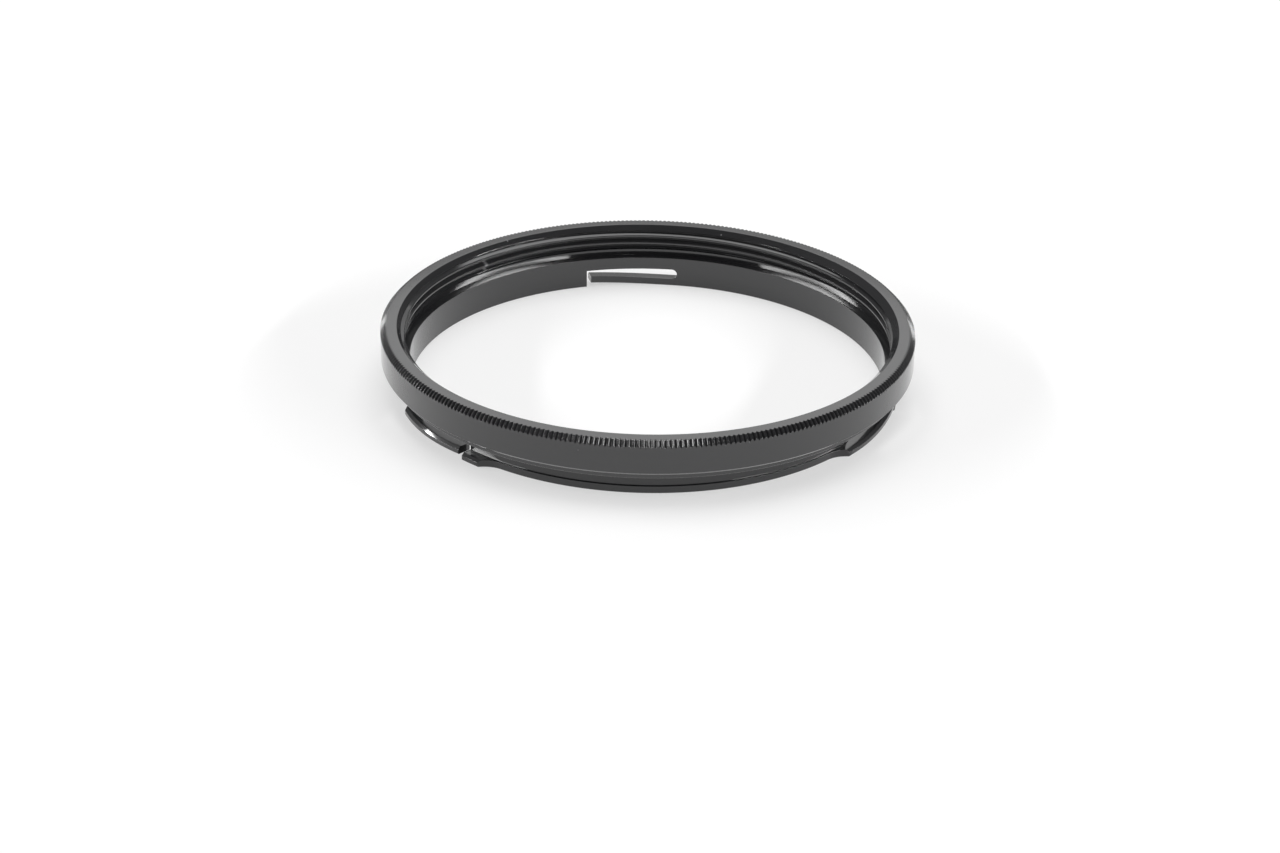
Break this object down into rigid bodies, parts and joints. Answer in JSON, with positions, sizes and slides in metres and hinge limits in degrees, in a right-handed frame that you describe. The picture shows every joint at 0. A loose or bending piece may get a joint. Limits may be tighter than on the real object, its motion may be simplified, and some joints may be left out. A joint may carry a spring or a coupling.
{
  "type": "filter adapter ring",
  "caption": "Bayonet ring with spring claws below and a screw thread above, for fitting a screw-in filter to a lens.",
  "frame": {"origin": "centre of the ring on the plane of its lower end face", "axes": "+Z along the ring's axis from the bayonet end to the filter end, +Y towards the claw that is at the back in the usual view"},
  "size_m": [0.067, 0.067, 0.0082],
  "materials": {
    "black_anodised": "black anodised, satin over fine turning marks"
  },
  "bodies": {
    "root": {"adapter_ring": "black_anodised"}
  },
  "joints": []
}
